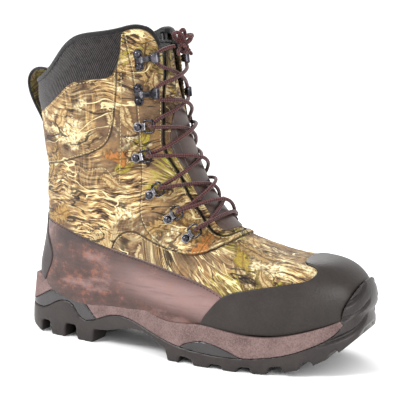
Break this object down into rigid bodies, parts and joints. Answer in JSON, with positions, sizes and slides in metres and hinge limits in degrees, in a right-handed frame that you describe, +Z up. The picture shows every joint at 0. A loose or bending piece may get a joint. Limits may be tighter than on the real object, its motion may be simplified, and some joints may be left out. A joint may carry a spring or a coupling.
{
  "type": "insulated hunting boot",
  "caption": "Insulated lace-up hunting boot in camouflage fabric and brown leather, with a rubber toe cap, lugged outsole, speed hooks, lace rings and a padded tongue.",
  "frame": {"origin": "centre of the boot's footprint box, on the ground", "axes": "+X to the toe, -Y to the outer side of the foot, +Z up"},
  "size_m": [0.3292, 0.1114, 0.2811],
  "materials": {
    "camo_fabric": "woven nylon printed with a leaf and bark camouflage",
    "collar_knit": "charcoal ribbed stretch fabric",
    "foxing_leather": "oiled brown nubuck with an orange-brown pull-up mottling",
    "binding_tape": "charcoal woven tape",
    "toe_rubber": "matte dark brown-grey moulded rubber",
    "counter_rubber": "matte dark grey moulded rubber",
    "outsole_rubber": "matte dark grey rubber with lugs",
    "midsole_foam": "mauve-brown moulded foam with a fine texture",
    "stabilizer_plastic": "semi-gloss dark grey plastic",
    "tongue_leather": "smooth taupe-brown leather",
    "inner_lining": "black brushed knit",
    "padding_foam": "foam padding",
    "insulation_felt": "off-white synthetic fibre insulation",
    "footbed_felt": "dark felt top on a foam bed",
    "board": "fibre board",
    "stiffening": "thermoplastic stiffener sheet",
    "shank_steel": "spring steel strip",
    "hardware_metal": "gunmetal plated steel, worn bright on the edges",
    "lace_cord": "round braided dark reddish-brown polyester cord"
  },
  "bodies": {
    "boot": {"bow_knot": "lace_cord", "collar_panel": "collar_knit", "facing_lateral": "camo_fabric", "facing_medial": "camo_fabric", "footbed": "footbed_felt", "forefoot_insert_lateral": "stabilizer_plastic", "forefoot_insert_medial": "stabilizer_plastic", "gusset_lateral": "inner_lining", "gusset_medial": "inner_lining", "heel_counter_cover": "counter_rubber", "heel_stabilizer": "stabilizer_plastic", "heel_stiffener": "stiffening", "hook_rivets": "hardware_metal", "insole_board": "board", "insulation": "insulation_felt", "lace": "lace_cord", "leather_foxing_lateral": "foxing_leather", "leather_foxing_medial": "foxing_leather", "lining": "inner_lining", "midsole": "midsole_foam", "outsole": "outsole_rubber", "pull_loop": "camo_fabric", "quarter_lateral": "camo_fabric", "quarter_medial": "camo_fabric", "ring_clips": "hardware_metal", "ring_rivets": "hardware_metal", "shaft_panel": "camo_fabric", "shank": "shank_steel", "speed_hooks": "hardware_metal", "toe_cap": "toe_rubber", "toe_puff": "stiffening", "top_binding": "binding_tape", "vamp": "camo_fabric"},
    "tongue": {"tongue_pad": "padding_foam", "tongue_cover": "camo_fabric", "tongue_patch": "tongue_leather", "tongue_lining": "inner_lining"},
    "ring_lateral_3": {"lace_ring_lateral_3": "hardware_metal"},
    "ring_lateral_4": {"lace_ring_lateral_4": "hardware_metal"},
    "ring_lateral_5": {"lace_ring_lateral_5": "hardware_metal"},
    "ring_lateral_6": {"lace_ring_lateral_6": "hardware_metal"},
    "ring_lateral_7": {"lace_ring_lateral_7": "hardware_metal"},
    "ring_medial_3": {"lace_ring_medial_3": "hardware_metal"},
    "ring_medial_4": {"lace_ring_medial_4": "hardware_metal"},
    "ring_medial_5": {"lace_ring_medial_5": "hardware_metal"},
    "ring_medial_6": {"lace_ring_medial_6": "hardware_metal"},
    "ring_medial_7": {"lace_ring_medial_7": "hardware_metal"}
  },
  "joints": [
    {"name": "tongue_fold", "type": "hinge", "parent": "boot", "child": "tongue", "pos_m": [0.0543, -0.0004, 0.099], "axis": [0, -1, 0], "range_deg": [0, 5], "deforming": ["gusset_lateral", "gusset_medial"]},
    {"name": "ring_swivel_lateral_3", "type": "hinge", "parent": "boot", "child": "ring_lateral_3", "pos_m": [-0.02563, -0.03736, 0.19557], "axis": [-0.0904, 0.0587, 0.9942], "range_deg": [-3, 3]},
    {"name": "ring_swivel_lateral_4", "type": "hinge", "parent": "boot", "child": "ring_lateral_4", "pos_m": [-0.02633, -0.04074, 0.17036], "axis": [-0.2215, 0.0264, 0.9748], "range_deg": [-3, 3]},
    {"name": "ring_swivel_lateral_5", "type": "hinge", "parent": "boot", "child": "ring_lateral_5", "pos_m": [-0.01417, -0.04085, 0.14133], "axis": [-0.5546, -0.0211, 0.8319], "range_deg": [-3, 3]},
    {"name": "ring_swivel_lateral_6", "type": "hinge", "parent": "boot", "child": "ring_lateral_6", "pos_m": [0.00264, -0.03916, 0.12221], "axis": [-0.6074, 0.0156, 0.7943], "range_deg": [-3, 3]},
    {"name": "ring_swivel_lateral_7", "type": "hinge", "parent": "boot", "child": "ring_lateral_7", "pos_m": [0.01914, -0.03811, 0.10777], "axis": [-0.7014, 0.127, 0.7014], "range_deg": [-3, 3]},
    {"name": "ring_swivel_medial_3", "type": "hinge", "parent": "boot", "child": "ring_medial_3", "pos_m": [-0.02563, 0.03449, 0.19558], "axis": [0.0903, 0.0681, -0.9936], "range_deg": [-3, 3]},
    {"name": "ring_swivel_medial_4", "type": "hinge", "parent": "boot", "child": "ring_medial_4", "pos_m": [-0.02633, 0.03809, 0.17036], "axis": [0.2215, 0.0289, -0.9747], "range_deg": [-3, 3]},
    {"name": "ring_swivel_medial_5", "type": "hinge", "parent": "boot", "child": "ring_medial_5", "pos_m": [-0.01416, 0.03764, 0.1413], "axis": [0.5539, -0.0528, -0.8309], "range_deg": [-3, 3]},
    {"name": "ring_swivel_medial_6", "type": "hinge", "parent": "boot", "child": "ring_medial_6", "pos_m": [0.00262, 0.03568, 0.1222], "axis": [0.6073, 0.021, -0.7942], "range_deg": [-3, 3]},
    {"name": "ring_swivel_medial_7", "type": "hinge", "parent": "boot", "child": "ring_medial_7", "pos_m": [0.01913, 0.03561, 0.1078], "axis": [0.6943, 0.1895, -0.6943], "range_deg": [-3, 3]}
  ]
}
